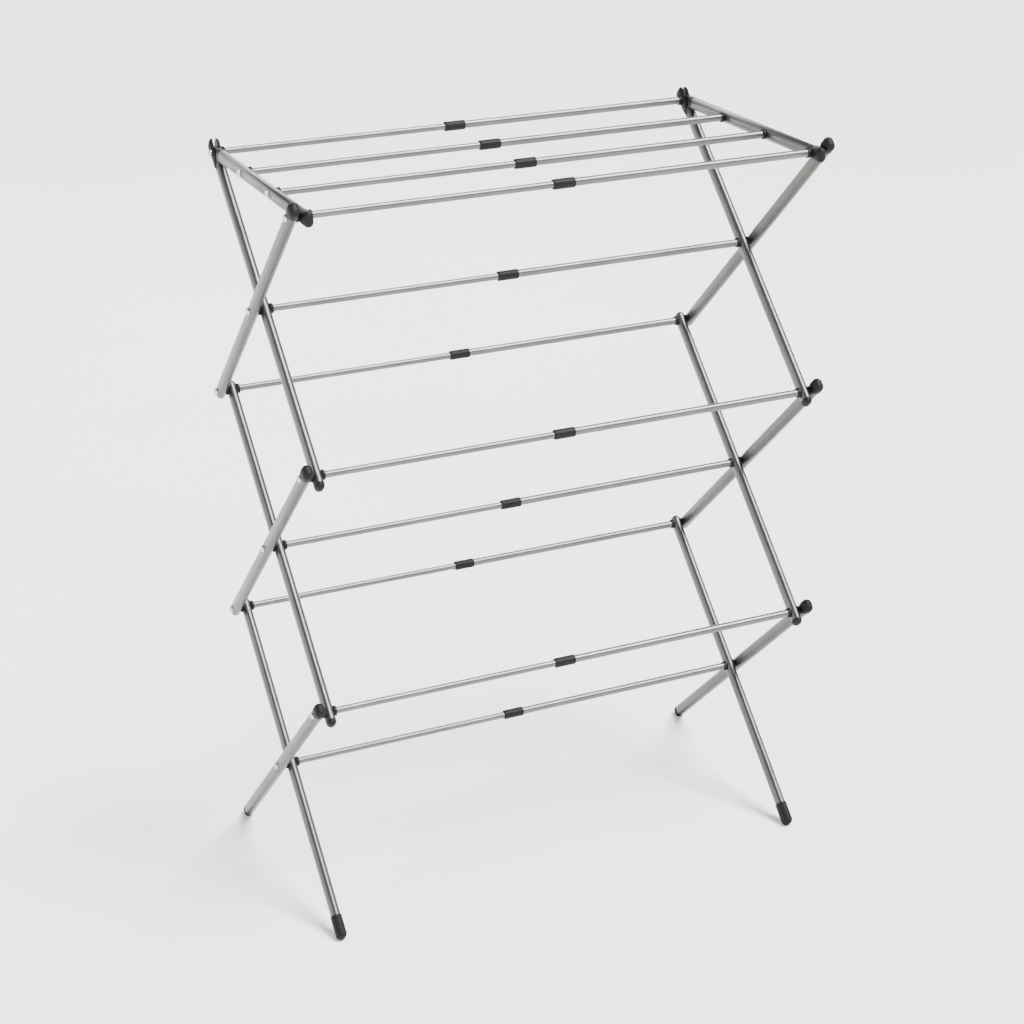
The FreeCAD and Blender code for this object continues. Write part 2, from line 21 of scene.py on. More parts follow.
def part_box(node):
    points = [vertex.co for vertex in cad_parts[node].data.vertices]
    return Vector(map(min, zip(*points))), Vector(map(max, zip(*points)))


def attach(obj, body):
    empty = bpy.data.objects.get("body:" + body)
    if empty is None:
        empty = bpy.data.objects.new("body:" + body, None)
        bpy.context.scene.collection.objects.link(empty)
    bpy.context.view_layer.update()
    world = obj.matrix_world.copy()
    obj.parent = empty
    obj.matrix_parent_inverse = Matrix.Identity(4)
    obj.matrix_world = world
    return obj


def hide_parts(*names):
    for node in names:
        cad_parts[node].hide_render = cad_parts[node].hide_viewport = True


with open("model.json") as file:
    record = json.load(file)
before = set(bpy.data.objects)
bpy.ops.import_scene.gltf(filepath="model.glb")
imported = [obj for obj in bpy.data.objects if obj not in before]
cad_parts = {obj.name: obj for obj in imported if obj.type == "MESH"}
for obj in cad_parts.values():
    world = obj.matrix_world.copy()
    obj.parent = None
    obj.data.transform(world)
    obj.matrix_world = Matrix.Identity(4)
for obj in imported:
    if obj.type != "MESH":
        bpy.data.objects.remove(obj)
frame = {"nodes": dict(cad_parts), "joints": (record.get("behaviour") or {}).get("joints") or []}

LOG = logging.getLogger("drying_rack")
MM = 0.001
SHARP_ANGLE = math.radians(32)
CROSS_AXIS = Vector((1, 0, 0))
NEAR_AXIS = 12 * MM  # a rod's own points lie nearer than this to its axis
MIDDLE_REACH = 0.1  # along X, the collars lie nearer to the middle than this and the end frames farther out
FAR = 1.0  # farther out along X than any of the rack
HAIR = 0.01 * MM  # two places this close together are one
WELD = 0.001 * MM
FLAT_ANGLE = math.radians(1)
EDGE_SEGMENTS = 2
TURNED_STEPS = 40
OVAL_STEPS = 12
DOME_STEPS = 8
DOME_SHARE = 0.985  # a dome stops just short of closing, so that its last ring keeps a width
STEM_REACH = 1 * MM  # a stem keeps its radius for at least this far
HEAD_STEP = 0.5 * MM  # a head stands out from its stem by more than this
SPIN_SEED = 7
SHARED_SETS = 4  # the sets of rods that both end frames have, which are listed first
GRAIN_DETAIL = 5
DRIFT_DETAIL = 2
DRIFT_SPAN = (0.35, 0.65)  # where the slow noise turns from one colour to the other


class Side(Enum):
    """The end frames, with the way that each one's outside faces."""

    RIGHT = 1
    LEFT = -1

    @property
    def word(self) -> str:
        """The side's word in the names of nodes and bodies."""
        return self.name.lower()


class Layer(Enum):
    """The two layers of legs in an end frame."""

    INNER = "inner"
    OUTER = "outer"


class Level(Enum):
    """The scissor levels, from the floor up."""

    LOWER = 0
    MIDDLE = 1
    UPPER = 2

    @property
    def word(self) -> str:
        """The level's word in the names of nodes."""
        return self.name.lower()


class Slot(Enum):
    """The record's material slots."""

    TUBE = "painted_tube"
    ROD = "rod_tube"
    PLASTIC = "black_plastic"
    SCREW = "zinc_screw"


# ---------------------------------------- colours and nodes


def linear(colour: str) -> tuple[float, float, float, float]:
    """Turns an sRGB hex colour to linear.

    Args:
        colour: Such as "#8c8d8a".

    Returns:
        Linear red, green and blue, and an alpha of one.
    """
    parts = [int(colour[k : k + 2], 16) / 255 for k in (1, 3, 5)]
    red, green, blue = [p / 12.92 if p <= 0.04045 else ((p + 0.055) / 1.055) ** 2.4 for p in parts]
    return red, green, blue, 1.0


def add_node(
    tree: bpy.types.NodeTree,
    kind: str,
    settings: dict[str, object] | None = None,
    values: dict[object, object] | None = None,
    links: dict[object, bpy.types.NodeSocket] | None = None,
) -> bpy.types.Node:
    """Adds a node with its settings, input values and incoming links.

    Args:
        tree: The tree that it goes in.
        kind: The node's type.
        settings: Properties of the node by name.
        values: Values of its inputs, by name or index.
        links: Sockets that feed its inputs, by name or index.

    Returns:
        The node.
    """
    node = tree.nodes.new(kind)
    for name, value in (settings or {}).items():
        setattr(node, name, value)
    for key, value in (values or {}).items():
        node.inputs[key].default_value = value
    for key, socket in (links or {}).items():
        tree.links.new(socket, node.inputs[key])
    return node


def linked(name: str, data: bpy.types.ID) -> bpy.types.Object:
    """Makes an object of some data and links it to the scene."""
    made = bpy.data.objects.new(name, data)
    bpy.context.scene.collection.objects.link(made)
    return made


# ---------------------------------------- finishes


@dataclass(frozen=True)
class Finish:
    """One real material and how its surface was made.

    Attributes:
        name: The material's common name.
        colour: Its main colour.
        second: The colour that it drifts to.
        metallic: Of the principled shader.
        roughness: The lowest roughness.
        swing: How much roughness the grain adds.
        grain_mm: Width of the surface grain.
        stretch: How many times longer than wide the grain is, along its way.
        relief_mm: Depth of the grain.
        drift_mm: Size of the slow drift in colour.
        specular: Strength of the shine of what isn't metal.
    """

    name: str
    colour: str
    second: str
    metallic: float
    roughness: float
    swing: float
    grain_mm: float
    stretch: float
    relief_mm: float
    drift_mm: float
    specular: float = 0.5

    def material(self, way: str = "any", turn: float = 0.0) -> bpy.types.Material:
        """Builds the material, or gives the one already built.

        Args:
            way: A word for the grain's way, which tells the variants apart.
            turn: Turn of the coordinates about X in radians, which lays the grain along a leg or rail.

        Returns:
            The material.
        """
        title = f"{self.name}, {way}" if way != "any" else self.name
        known = bpy.data.materials.get(title)
        if known:
            return known
        made = bpy.data.materials.new(title)
        made.use_nodes = True
        tree = made.node_tree
        tree.nodes.clear()
        along = (self.stretch, 1, 1) if way == "rod" else (1, 1, self.stretch)
        place = add_node(tree, "ShaderNodeTexCoord")
        turned = add_node(
            tree,
            "ShaderNodeMapping",
            values={"Rotation": (turn, 0, 0)},
            links={"Vector": place.outputs["Object"]},
        )
        drawn = add_node(
            tree,
            "ShaderNodeMapping",
            values={"Scale": tuple(1 / length for length in along)},
            links={"Vector": turned.outputs["Vector"]},
        )
        grain = self._noise(tree, drawn.outputs["Vector"], self.grain_mm, GRAIN_DETAIL)
        drift = self._noise(tree, turned.outputs["Vector"], self.drift_mm, DRIFT_DETAIL)
        ramp = add_node(tree, "ShaderNodeValToRGB", links={"Fac": drift})
        for stop, at, colour in zip(ramp.color_ramp.elements, DRIFT_SPAN, (self.colour, self.second)):
            stop.position = at
            stop.color = linear(colour)
        gloss = add_node(
            tree,
            "ShaderNodeMapRange",
            values={"To Min": self.roughness, "To Max": self.roughness + self.swing},
            links={"Value": grain},
        )
        relief = add_node(
            tree,
            "ShaderNodeBump",
            values={"Strength": 1.0, "Distance": self.relief_mm * MM},
            links={"Height": grain},
        )
        shader = add_node(
            tree,
            "ShaderNodeBsdfPrincipled",
            values={"Metallic": self.metallic, "Specular IOR Level": self.specular},
            links={
                "Base Color": ramp.outputs["Color"],
                "Roughness": gloss.outputs["Result"],
                "Normal": relief.outputs["Normal"],
            },
        )
        add_node(tree, "ShaderNodeOutputMaterial", links={"Surface": shader.outputs["BSDF"]})
        return made

    @staticmethod
    def _noise(
        tree: bpy.types.NodeTree, where: bpy.types.NodeSocket, size_mm: float, detail: float
    ) -> bpy.types.NodeSocket:
        """A noise whose features have a real size.

        Args:
            tree: The material's tree.
            where: The coordinates.
            size_mm: Size of the features.
            detail: How many finer steps it has.

        Returns:
            The noise's value.
        """
        noise = add_node(
            tree,
            "ShaderNodeTexNoise",
            values={"Scale": 1 / (size_mm * MM), "Detail": detail},
            links={"Vector": where},
        )
        return noise.outputs["Fac"]


# Silver powder coat with fine metal flake on steel tube: a broad soft streak of light between grey sides,
# and a fine orange peel.
POWDER_COAT = Finish(
    name="silver powder coated steel tube",
    colour="#4b4b49",
    second="#535350",
    metallic=0.85,
    roughness=0.31,
    swing=0.08,
    grain_mm=0.9,
    stretch=3.0,
    relief_mm=0.012,
    drift_mm=70.0,
)

# Bare cold drawn steel: paler than the legs, its streak of light broken by fine lines along the rod.
DRAWN_STEEL = Finish(
    name="cold drawn steel rod",
    colour="#5f615f",
    second="#676967",
    metallic=0.9,
    roughness=0.33,
    swing=0.08,
    grain_mm=0.5,
    stretch=40.0,
    relief_mm=0.004,
    drift_mm=55.0,
)

# Moulded nylon: near black, with the fine spark-eroded texture of its mould, which keeps its light dull.
MOULDED_NYLON = Finish(
    name="moulded black nylon",
    colour="#0d0d0e",
    second="#131313",
    metallic=0.0,
    roughness=0.45,
    swing=0.15,
    grain_mm=0.5,
    stretch=1.0,
    relief_mm=0.05,
    drift_mm=18.0,
    specular=0.14,
)

# Moulded PVC: softer and duller than the nylon.
FOOT_PVC = Finish(
    name="moulded black PVC foot",
    colour="#0c0c0c",
    second="#121211",
    metallic=0.0,
    roughness=0.55,
    swing=0.15,
    grain_mm=0.8,
    stretch=1.0,
    relief_mm=0.06,
    drift_mm=12.0,
    specular=0.14,
)

# Bright zinc plate on a pressed steel screw: the brightest spots of the rack, with a faint haze.
ZINC_PLATE = Finish(
    name="zinc plated steel screw",
    colour="#c2c3c0",
    second="#b3b2ac",
    metallic=1.0,
    roughness=0.22,
    swing=0.12,
    grain_mm=0.35,
    stretch=1.0,
    relief_mm=0.01,
    drift_mm=4.0,
)


# ---------------------------------------- mesh work


def oval_ring(height: float, thickness: float, at: float) -> list[Vector]:
    """Points of the tube's oval, flat towards X, at a place along Z.

    Args:
        height: Along Y.
        thickness: Along X.
        at: Along Z.

    Returns:
        The points, round once.
    """
    radius = thickness / 2
    rise = (height - thickness) / 2
    points = []
    for centre, start in ((rise, 0.0), (-rise, math.pi)):
        for step in range(OVAL_STEPS + 1):
            angle = start + math.pi * step / OVAL_STEPS
            points.append(Vector((radius * math.cos(angle), centre + radius * math.sin(angle), at)))
    return points


def inset_oval(height: float, thickness: float, inset: float, at: float) -> list[Vector]:
    """An oval drawn in by an inset all round."""
    return oval_ring(height - 2 * inset, thickness - 2 * inset, at)


def oval_dome(height: float, thickness: float, base: float, way: int) -> list[list[Vector]]:
    """Rings of a rounded end on an oval bar, outwards from its base.

    Args:
        height: Of the bar.
        thickness: Of the bar.
        base: Where the rounding starts along Z.
        way: 1 for a top end, -1 for a bottom end.

    Returns:
        The rings, the last one nearly a line.
    """
    radius = thickness / 2
    rings = []
    for step in range(1, DOME_STEPS + 1):
        angle = DOME_SHARE * math.pi / 2 * step / DOME_STEPS
        inset = radius * (1 - math.cos(angle))
        rings.append(inset_oval(height, thickness, inset, base + way * radius * math.sin(angle)))
    return rings


def circle_ring(radius: float, at: float, steps: int = TURNED_STEPS) -> list[Vector]:
    """Points of a circle about Z at a place along Z."""
    turn = 2 * math.pi / steps
    return [Vector((radius * math.cos(k * turn), radius * math.sin(k * turn), at)) for k in range(steps)]


def loft(rings: Sequence[Sequence[Vector]], closed: bool = False) -> bmesh.types.BMesh:
    """Joins rings of equal length into a skin.

    Args:
        rings: The rings in order.
        closed: Whether the last ring joins the first, as on a pierced piece. Otherwise the ends are filled.

    Returns:
        The skin, with its faces outwards.
    """
    skin = bmesh.new()
    rows = [[skin.verts.new(point) for point in ring] for ring in rings]
    pairs = list(zip(rows, rows[1:]))
    if closed:
        pairs.append((rows[-1], rows[0]))
    for low, high in pairs:
        for k in range(len(low)):
            after = (k + 1) % len(low)
            skin.faces.new((low[k], low[after], high[after], high[k]))
    if not closed:
        skin.faces.new(rows[0])
        skin.faces.new(rows[-1])
    bmesh.ops.recalc_face_normals(skin, faces=skin.faces)
    return skin


def turned(profile: Sequence[tuple[float, float]], pierced: bool = False) -> bmesh.types.BMesh:
    """A turned piece about Z.

    Args:
        profile: (place along Z, radius) pairs in order.
        pierced: Whether the profile is a closed outline round a hole.

    Returns:
        The skin.
    """
    return loft([circle_ring(radius, at) for at, radius in profile], closed=pierced)


def rounded(at: float, radius: float, edge: float, way: int, steps: int = 4) -> list[tuple[float, float]]:
    """A rounded edge for a turned profile.

    Args:
        at: Place of the end face along Z.
        radius: Of the round side.
        edge: Radius of the edge.
        way: 1 if the end face looks along +Z, -1 along -Z.
        steps: Number of steps round it.

    Returns:
        Profile pairs from the side to the face at a top end, and from the face to the side at a bottom end.
    """
    pairs = []
    for step in range(steps + 1):
        angle = math.pi / 2 * step / steps
        along = at - way * edge * (1 - math.sin(angle))
        pairs.append((along, radius - edge * (1 - math.cos(angle))))
    return pairs if way > 0 else pairs[::-1]


def along_direction(origin: Vector, direction: Vector) -> Matrix:
    """A frame with its Z along a direction in the YZ plane and its X along X."""
    across = direction.cross(CROSS_AXIS)
    columns = Matrix((CROSS_AXIS, across, direction)).transposed().to_4x4()
    return Matrix.Translation(origin) @ columns


def plain_mesh(name: str, skin: bmesh.types.BMesh) -> bpy.types.Mesh:
    """Turns a skin into a mesh, and frees the skin."""
    mesh = bpy.data.meshes.new(name)
    skin.to_mesh(mesh)
    skin.free()
    return mesh


def dressed(
    name: str,
    shape: bmesh.types.BMesh | bpy.types.Mesh,
    material: bpy.types.Material,
    body: str,
    nodes: Sequence[str],
) -> None:
    """Makes a piece of a shape and fixes it to its body.

    Args:
        name: The piece's name.
        shape: Its mesh, or its skin, already in place.
        material: Its finish.
        body: The body that it rides on.
        nodes: The CAD nodes that it stands for.
    """
    mesh = shape if isinstance(shape, bpy.types.Mesh) else plain_mesh(name, shape)
    mesh.materials.clear()
    mesh.materials.append(material)
    mesh.polygons.foreach_set("material_index", [0] * len(mesh.polygons))
    mesh.polygons.foreach_set("use_smooth", [True] * len(mesh.polygons))
    mesh.set_sharp_from_angle(angle=SHARP_ANGLE)
    piece = linked(name, mesh)
    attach(piece, body)
    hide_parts(*nodes)
    LOG.info("%s: %d faces on %s", name, len(mesh.polygons), body)


# ---------------------------------------- geometry nodes


def socket_named(tree: bpy.types.NodeTree, name: str) -> str:
    """The identifier of a tree's named input."""
    for item in tree.interface.items_tree:
        if item.item_type == "SOCKET" and item.in_out == "INPUT" and item.name == name:
            return item.identifier
    raise KeyError(name)


def seating_tree() -> bpy.types.NodeTree:
    """The tree that sets a piece at each point, each turned at random about its own axis."""
    tree = bpy.data.node_groups.new("pieces at points", "GeometryNodeTree")
    for title, kind in (
        ("Geometry", "NodeSocketGeometry"),
        ("Piece", "NodeSocketObject"),
        ("Facing", "NodeSocketRotation"),
        ("Seed", "NodeSocketInt"),
        ("Material", "NodeSocketMaterial"),
    ):
        tree.interface.new_socket(title, in_out="INPUT", socket_type=kind)
    tree.interface.new_socket("Geometry", in_out="OUTPUT", socket_type="NodeSocketGeometry")
    given = tree.nodes.new("NodeGroupInput")
    piece = add_node(tree, "GeometryNodeObjectInfo", links={"Object": given.outputs["Piece"]})
    spin = add_node(
        tree,
        "FunctionNodeRandomValue",
        {"data_type": "FLOAT_VECTOR"},
        {0: (0, 0, 0), 1: (0, 0, 2 * math.pi)},
        {"Seed": given.outputs["Seed"]},
    )
    own = add_node(tree, "FunctionNodeEulerToRotation", links={0: spin.outputs[0]})
    facing = add_node(
        tree,
        "FunctionNodeRotateRotation",
        {"rotation_space": "LOCAL"},
        links={0: given.outputs["Facing"], 1: own.outputs[0]},
    )
    placed = add_node(
        tree,
        "GeometryNodeInstanceOnPoints",
        links={
            "Points": given.outputs["Geometry"],
            "Instance": piece.outputs["Geometry"],
            "Rotation": facing.outputs[0],
        },
    )
    real = add_node(tree, "GeometryNodeRealizeInstances", links={"Geometry": placed.outputs["Instances"]})
    painted = add_node(
        tree,
        "GeometryNodeSetMaterial",
        links={"Geometry": real.outputs["Geometry"], "Material": given.outputs["Material"]},
    )
    add_node(tree, "NodeGroupOutput", links={0: painted.outputs["Geometry"]})
    return tree


def grown(base: bpy.types.Mesh, tree: bpy.types.NodeTree, inputs: dict[str, object]) -> bpy.types.Mesh:
    """Runs a tree on a mesh and gives the plain mesh that it makes.

    Args:
        base: The mesh that the tree starts from.
        tree: The tree.
        inputs: Values of its named inputs.

    Returns:
        The result, with no modifier left.
    """
    carrier = linked("carrier", base)
    modifier = carrier.modifiers.new("grow", "NODES")
    modifier.node_group = tree
    for name, value in inputs.items():
        modifier[socket_named(tree, name)] = value
    bpy.context.view_layer.update()
    graph = bpy.context.evaluated_depsgraph_get()
    mesh = bpy.data.meshes.new_from_object(carrier.evaluated_get(graph), depsgraph=graph)
    carrier.modifiers.remove(modifier)
    bpy.data.objects.remove(carrier)
    return mesh


def seated(
    template: bmesh.types.BMesh,
    tree: bpy.types.NodeTree,
    points: Sequence[Vector],
    side: Side,
    material: bpy.types.Material,
) -> bpy.types.Mesh:
    """Sets copies of a piece that is made along Z at points, facing out of one end frame.

    Args:
        template: The piece, which is freed.
        tree: The seating tree.
        points: Where the copies' origins go.
        side: The end frame.
        material: Their finish.

    Returns:
        One plain mesh.
    """
    carrier = linked("template", plain_mesh("template", template))
    seats = bpy.data.meshes.new("seats")
    seats.from_pydata([tuple(point) for point in points], [], [])
    facing = tuple(Matrix.Rotation(side.value * math.pi / 2, 4, "Y").to_euler())
    result = grown(seats, tree, {"Piece": carrier, "Facing": facing, "Seed": SPIN_SEED, "Material": material})
    bpy.data.objects.remove(carrier)
    return result


# ---------------------------------------- the frame's own places


def node_points(node: str) -> list[Vector]:
    """The points of a CAD node at rest."""
    return [vertex.co for vertex in frame["nodes"][node].data.vertices]


def span(values: Sequence[float]) -> tuple[float, float]:
    """The lowest and the highest of some values."""
    return min(values), max(values)


@dataclass(frozen=True)
class RackPlaces:
    """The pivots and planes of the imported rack.

    Attributes:
        half_depth: Middle plane to the front or back pivots.
        half_rise: A crossing pivot to the next row of pivots.
        base_height: The lowest crossing pivot above the floor.
        inner_plane: Middle of the inner layer, along X.
        outer_plane: Middle of the outer layer, along X.
        deck_places: The deck rods' places along Y.
    """

    half_depth: float
    half_rise: float
    base_height: float
    inner_plane: float
    outer_plane: float
    deck_places: tuple[float, ...]

    @classmethod
    def from_frame(cls) -> RackPlaces:
        """Reads the places from the joints and the nodes."""
        pivots = {joint["name"]: Vector(joint["pos_m"]) for joint in frame["joints"] if "pos_m" in joint}
        back, base = pivots["lower_back_pivot"], pivots["lower_cross"]
        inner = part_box("upper_inner_leg_right")
        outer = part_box("upper_outer_leg_right")
        rods = sorted(point.y for point in node_points("deck_rods_outer"))
        middle = (rods[0] + rods[-1]) / 2
        halves = ([y for y in rods if y < middle], [y for y in rods if y > middle])
        return cls(
            half_depth=back.y,
            half_rise=back.z - base.z,
            base_height=base.z,
            inner_plane=(inner[0].x + inner[1].x) / 2,
            outer_plane=(outer[0].x + outer[1].x) / 2,
            deck_places=tuple(sum(span(half)) / 2 for half in halves),
        )

    def crossing(self, level: Level) -> Vector:
        """The pivot where the two legs of a level cross."""
        return Vector((0, 0, self.base_height + 2 * self.half_rise * level.value))

    def back_pivot(self, level: Level) -> Vector:
        """The top back pivot of a level."""
        return self.crossing(level) + Vector((0, self.half_depth, self.half_rise))

    def front_pivot(self, level: Level) -> Vector:
        """The top front pivot of a level."""
        return self.crossing(level) + Vector((0, -self.half_depth, self.half_rise))

    def leg_way(self, layer: Layer) -> Vector:
        """The upward direction of the legs in a layer."""
        depth = self.half_depth if layer is Layer.INNER else -self.half_depth
        return Vector((0, depth, self.half_rise)).normalized()

    def leg_frame(self, layer: Layer, level: Level, side: Side) -> Matrix:
        """The frame of a leg, with its Z up the leg from its crossing."""
        plane = self.inner_plane if layer is Layer.INNER else self.outer_plane
        origin = self.crossing(level) + CROSS_AXIS * plane * side.value
        return along_direction(origin, self.leg_way(layer))

    def deck_axes(self) -> list[Vector]:
        """The axes of the two middle deck rods, from the back."""
        height = self.back_pivot(Level.UPPER).z
        return [Vector((0, y, height)) for y in sorted(self.deck_places, reverse=True)]


def measured(node: str, place: Matrix) -> list[tuple[float, float]]:
    """The box of a node in a frame of its own.

    Args:
        node: The CAD node.
        place: The frame that it is measured in.

    Returns:
        The span along each of the frame's axes.
    """
    inverse = place.inverted()
    points = [inverse @ point for point in node_points(node)]
    return [span([point[axis] for point in points]) for axis in range(3)]


# ---------------------------------------- legs and rails


@dataclass
class Legs:
    """The six oval legs of one end frame.

    Attributes:
        places: The rack's places.
        side: The end frame.
        edge: Chamfer of a sawn end.
    """

    places: RackPlaces
    side: Side
    edge: float = 0.3 * MM

    def build(self) -> None:
        """Makes every leg and dresses it."""
        for layer in Layer:
            for level in Level:
                self._leg(layer, level)

    def _is_domed(self, layer: Layer, level: Level, way: int) -> bool:
        """Whether a leg's end is rounded: inner tops and outer bottoms, away from hinge and floor."""
        if layer is Layer.INNER:
            return way > 0 and level is not Level.UPPER
        return way < 0 and level is not Level.LOWER

    def _end(self, size: tuple[float, float], at: float, way: int, domed: bool) -> list[list[Vector]]:
        """Rings of one end of a leg, outwards.

        Args:
            size: Height and thickness of the tube.
            at: Where the end is along the leg.
            way: 1 for the top end, -1 for the bottom end.
            domed: Whether it is rounded rather than sawn.

        Returns:
            The rings.
        """
        height, thickness = size
        if domed:
            base = at - way * thickness / 2
            return [oval_ring(height, thickness, base)] + oval_dome(height, thickness, base, way)
        return [
            oval_ring(height, thickness, at - way * self.edge),
            inset_oval(height, thickness, self.edge, at),
        ]

    def _leg(self, layer: Layer, level: Level) -> None:
        """Makes one leg."""
        name = f"{level.word}_{layer.value}_leg_{self.side.word}"
        place = self.places.leg_frame(layer, level, self.side)
        across, deep, along = measured(name, place)
        size = (deep[1] - deep[0], across[1] - across[0])
        low = self._end(size, along[0], -1, self._is_domed(layer, level, -1))
        high = self._end(size, along[1], 1, self._is_domed(layer, level, 1))
        skin = loft(low[::-1] + high)
        skin.transform(place)
        up = self.places.leg_way(layer)
        finish = POWDER_COAT.material(f"{layer.value} leg", math.atan2(up.y, up.z))
        body = f"{level.word}_{layer.value}_{self.side.word}"
        dressed(f"{name}.tube", skin, finish, body, [name])


@dataclass
class SoftenedNode:
    """A CAD node, or some of its solids, with softened edges.

    Attributes:
        node: The node.
        body: Its body.
        slot: Its slot.
        finish: Its finish.
        word: What the piece's name ends in.
        keep: Which solids are kept, by their middles. None keeps them all.
        edge: Width of the softened edges.
    """

    node: str
    body: str
    slot: Slot
    finish: bpy.types.Material
    word: str = "softened"
    keep: Callable[[Vector], bool] | None = None
    edge: float = 0.35 * MM

    def build(self) -> None:
        """Copies the node, merges its triangles, softens its edges and dresses it."""
        skin = bmesh.new()
        skin.from_mesh(frame["nodes"][self.node].data)
        bmesh.ops.remove_doubles(skin, verts=skin.verts, dist=WELD)
        if self.keep:
            self._drop_others(skin)
        bmesh.ops.dissolve_limit(
            skin, angle_limit=FLAT_ANGLE, verts=skin.verts, edges=skin.edges, delimit={"NORMAL"}
        )
        edges = [e for e in skin.edges if len(e.link_faces) == 2 and e.calc_face_angle() > SHARP_ANGLE]
        bmesh.ops.bevel(
            skin,
            geom=edges,
            offset=self.edge,
            offset_type="OFFSET",
            segments=EDGE_SEGMENTS,
            profile=0.5,
            affect="EDGES",
            clamp_overlap=True,
        )
        dressed(f"{self.node}.{self.word}", skin, self.finish, self.body, [self.node])

    def _drop_others(self, skin: bmesh.types.BMesh) -> None:
        """Deletes the solids that aren't kept."""
        left = set(skin.verts)
        unwanted = []
        while left:
            solid, edge_of = [], [left.pop()]
            while edge_of:
                vertex = edge_of.pop()
                solid.append(vertex)
                for edge in vertex.link_edges:
                    other = edge.other_vert(vertex)
                    if other in left:
                        left.remove(other)
                        edge_of.append(other)
            low_high = [span([v.co[axis] for v in solid]) for axis in range(3)]
            middle = Vector([sum(pair) / 2 for pair in low_high])
            if not self.keep(middle):
                unwanted += solid
        bmesh.ops.delete(skin, geom=unwanted, context="VERTS")


# ---------------------------------------- turned pieces


@dataclass(frozen=True)
class Rim:
    """A point of a node that lies round an axis.

    Attributes:
        out: Its place along X, towards the outside of the end frame.
        radius: Its distance from the axis.
    """

    out: float
    radius: float


def rims_about(node: str, axis: Vector, side: Side, low: float, high: float) -> list[Rim]:
    """The points of a node that lie close round one axis, in a stretch along X.

    Args:
        node: The CAD node.
        axis: A point on the axis, which runs along X.
        side: The end frame, whose outside is counted as positive.
        low: Where the stretch starts.
        high: Where it ends.

    Returns:
        The points.
    """
    found = []
    for point in node_points(node):
        rim = Rim(side.value * point.x, math.hypot(point.y - axis.y, point.z - axis.z))
        if rim.radius < NEAR_AXIS and low <= rim.out <= high:
            found.append(rim)
    return found


def stem_and_head(rims: Sequence[Rim]) -> tuple[float, float, float, float, float]:
    """Reads a turned piece that has a thin stem and then a wide head.

    Args:
        rims: Its points.

    Returns:
        Where the stem starts, its radius, where the head starts and stops, and the head's radius.
    """
    start = min(rim.out for rim in rims)
    stem = max(rim.radius for rim in rims if rim.out < start + STEM_REACH)
    head = [rim for rim in rims if rim.radius > stem + HEAD_STEP]
    low, high = span([rim.out for rim in head])
    return start, stem, low, high, max(rim.radius for rim in head)


def seat(axis: Vector, side: Side, out: float) -> Vector:
    """A point on an axis, at a place towards the outside of one end frame."""
    return Vector((side.value * out, axis.y, axis.z))


@dataclass
class Rods:
    """The rods of one CAD node, each a drawn tube about an axis.

    Attributes:
        node: The CAD node.
        body: Its body.
        axes: A point on each rod's axis.
        tree: The seating tree.
        edge: Chamfer of the tube's ends.
    """

    node: str
    body: str
    axes: Sequence[Vector]
    tree: bpy.types.NodeTree
    edge: float = 0.2 * MM

    def build(self) -> None:
        """Makes the rods as one piece and dresses it."""
        alike: dict[tuple[float, float], list[Vector]] = {}
        for axis in self.axes:
            rims = rims_about(self.node, axis, Side.RIGHT, -FAR, FAR)
            low, high = span([rim.out for rim in rims])
            alike.setdefault((round(low, 5), round(high, 5)), []).append(axis)
        material = DRAWN_STEEL.material("rod")
        whole = bmesh.new()
        for (low, high), axes in alike.items():
            seats = [seat(axis, Side.RIGHT, low) for axis in axes]
            tube = self._tube(axes[0], high - low)
            whole.from_mesh(seated(tube, self.tree, seats, Side.RIGHT, material))
        dressed(f"{self.node}.drawn", whole, material, self.body, [self.node])

    def _tube(self, axis: Vector, length: float) -> bmesh.types.BMesh:
        """One rod's tube along Z, with chamfered ends."""
        bore, radius = span([rim.radius for rim in rims_about(self.node, axis, Side.RIGHT, -FAR, FAR)])
        profile = [
            (0.0, bore),
            (0.0, radius - self.edge),
            (self.edge, radius),
            (length - self.edge, radius),
            (length, radius - self.edge),
            (length, bore),
        ]
        return turned(profile, pierced=True)


